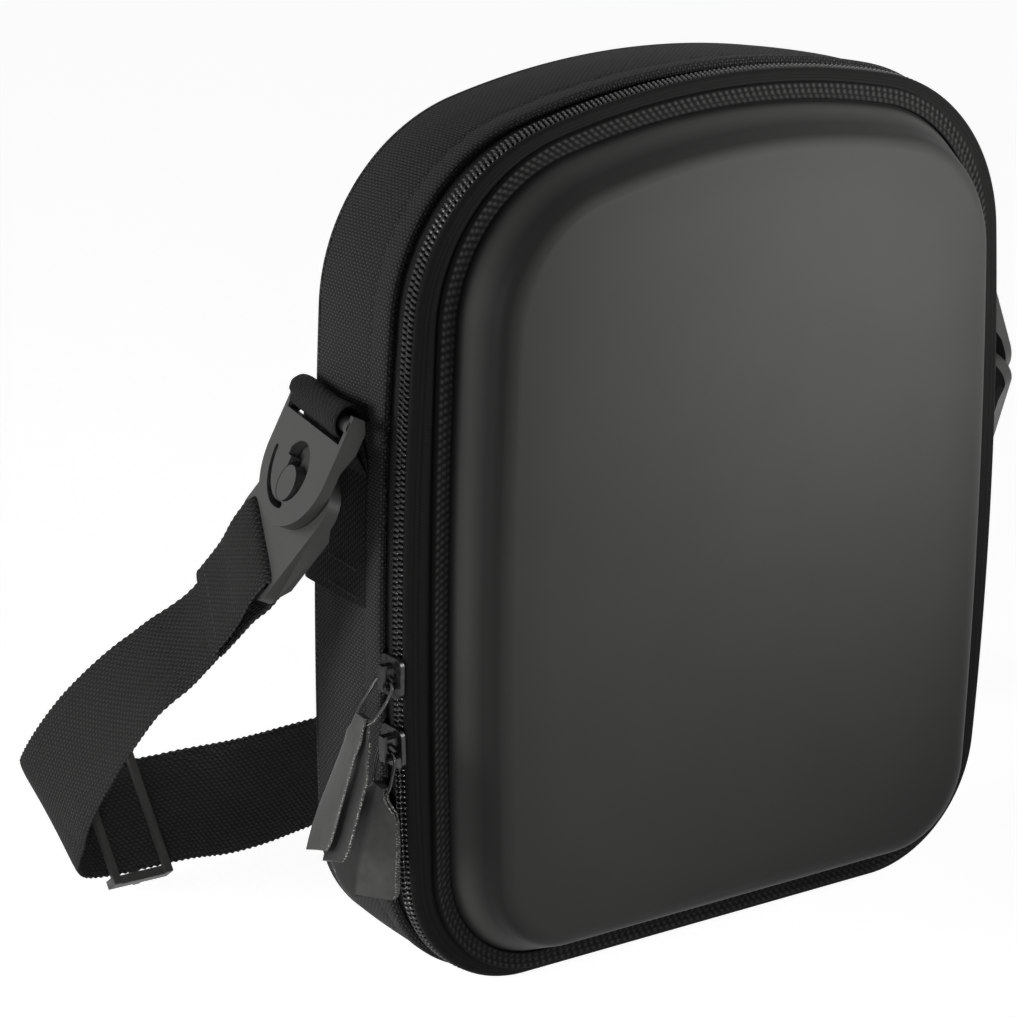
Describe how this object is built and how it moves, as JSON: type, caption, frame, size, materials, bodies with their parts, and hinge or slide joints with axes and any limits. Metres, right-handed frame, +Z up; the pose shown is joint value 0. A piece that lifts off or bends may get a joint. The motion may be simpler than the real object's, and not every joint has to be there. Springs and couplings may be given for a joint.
{
  "type": "binocular hard case",
  "caption": "Zip-around binocular case with a soft padded body, a moulded front lid, two zip pulls and a carrying strap on swivelling side clips.",
  "frame": {"origin": "middle of the flat base that the case stands on", "axes": "+X to the right seen from the lid, +Y towards the back panel, +Z up"},
  "size_m": [0.3022, 0.1534, 0.243],
  "materials": {
    "ballistic_nylon": "coarse plain weave, matt with small lit floats",
    "zip_tape": "fine ribbed tape, matt",
    "zip_coil": "nylon spiral, slight sheen",
    "binding": "ribbed woven tape in two rows, matt",
    "foam": "closed-cell foam, unseen",
    "lining": "fine knit, matt",
    "board": "unseen stiffening board",
    "webbing": "close twill webbing, matt",
    "moulded_panel": "smooth matt coated skin over moulded foam",
    "band": "smooth coated fabric, soft sheen",
    "zip_metal": "dark nickel, satin",
    "pull_leather": "grey coated leather, satin face and grained back",
    "clip_grey": "satin dark grey"
  },
  "bodies": {
    "case": {"gusset": "ballistic_nylon", "back_panel": "ballistic_nylon", "mouth_hem": "ballistic_nylon", "body_zip_tape": "zip_tape", "body_zip_coil": "zip_coil", "zip_end_tabs": "zip_tape", "hinge_strip": "binding", "gusset_padding": "foam", "body_lining": "lining", "back_padding": "foam", "back_board": "board", "side_webbing_left": "webbing", "side_webbing_right": "webbing", "strap_left": "webbing", "strap_right": "webbing"},
    "lid": {"lid_panel": "moulded_panel", "lid_band": "band", "lid_binding": "binding", "lid_lining": "lining", "lid_zip_tape": "zip_tape", "lid_zip_coil": "zip_coil"},
    "slider_upper": {"slider_upper": "zip_metal"},
    "slider_lower": {"slider_lower": "zip_metal"},
    "pull_wire_upper": {"pull_wire_upper": "zip_metal"},
    "pull_wire_lower": {"pull_wire_lower": "zip_metal"},
    "pull_tab_upper": {"pull_tab_upper": "pull_leather"},
    "pull_tab_lower": {"pull_tab_lower": "pull_leather"},
    "clip_left": {"clip_plate_left": "clip_grey"},
    "clip_right": {"clip_plate_right": "clip_grey"},
    "hook_left": {"hook_plate_left": "clip_grey", "strap_end_left": "webbing"},
    "hook_right": {"hook_plate_right": "clip_grey", "strap_end_right": "webbing"},
    "adjuster": {"strap_adjuster": "clip_grey"}
  },
  "joints": [
    {"name": "lid_hinge", "type": "hinge", "parent": "case", "child": "lid", "pos_m": [0, -0.024, 0.001], "axis": [1, 0, 0], "range_deg": [0, 95]},
    {"name": "upper_zip_slide", "type": "slide", "parent": "case", "child": "slider_upper", "axis": [0.0072, 0, 1], "range_m": [0, 0.05]},
    {"name": "lower_zip_slide", "type": "slide", "parent": "case", "child": "slider_lower", "axis": [0.0452, 0, -0.999], "range_m": [0, 0.02]},
    {"name": "upper_pull_swing", "type": "hinge", "parent": "slider_upper", "child": "pull_wire_upper", "pos_m": [-0.10386, -0.02545, 0.09322], "axis": [0.001, 0.9903, 0.1392], "range_deg": [0, 95]},
    {"name": "upper_tab_swing", "type": "hinge", "parent": "pull_wire_upper", "child": "pull_tab_upper", "pos_m": [-0.10739, -0.02378, 0.08135], "axis": [0.001, 0.9903, 0.1392], "range_deg": [0, 75]},
    {"name": "lower_pull_swing", "type": "hinge", "parent": "slider_lower", "child": "pull_wire_lower", "pos_m": [-0.1033, -0.02545, 0.07358], "axis": [-0.0102, 0.9744, 0.2247], "range_deg": [0, 14]},
    {"name": "lower_tab_swing", "type": "hinge", "parent": "pull_wire_lower", "child": "pull_tab_lower", "pos_m": [-0.10406, -0.02265, 0.06142], "axis": [-0.0102, 0.9744, 0.2247], "range_deg": [0, 10]},
    {"name": "clip_swing_left", "type": "hinge", "parent": "case", "child": "clip_left", "pos_m": [-0.10445, 0.004, 0.1603], "axis": [0.2198, 0.9755, 0], "range_deg": [0, 85], "deforming": ["strap_left"]},
    {"name": "clip_swing_right", "type": "hinge", "parent": "case", "child": "clip_right", "pos_m": [0.10445, 0.004, 0.1603], "axis": [0.2198, -0.9755, 0], "range_deg": [0, 85], "deforming": ["strap_right"]},
    {"name": "hook_swivel_left", "type": "hinge", "parent": "clip_left", "child": "hook_left", "pos_m": [-0.11395, 0.0046, 0.14041], "axis": [0.882, -0.1988, -0.4274], "range_deg": [-25, 25], "deforming": ["strap_left"]},
    {"name": "hook_swivel_right", "type": "hinge", "parent": "clip_right", "child": "hook_right", "pos_m": [0.11395, 0.0046, 0.14041], "axis": [0.882, 0.1988, 0.4274], "range_deg": [-25, 25], "deforming": ["strap_right"]},
    {"name": "adjuster_slide", "type": "slide", "parent": "case", "child": "adjuster", "axis": [0.9996, -0.027, 0], "range_m": [-0.003, 0.003]}
  ]
}
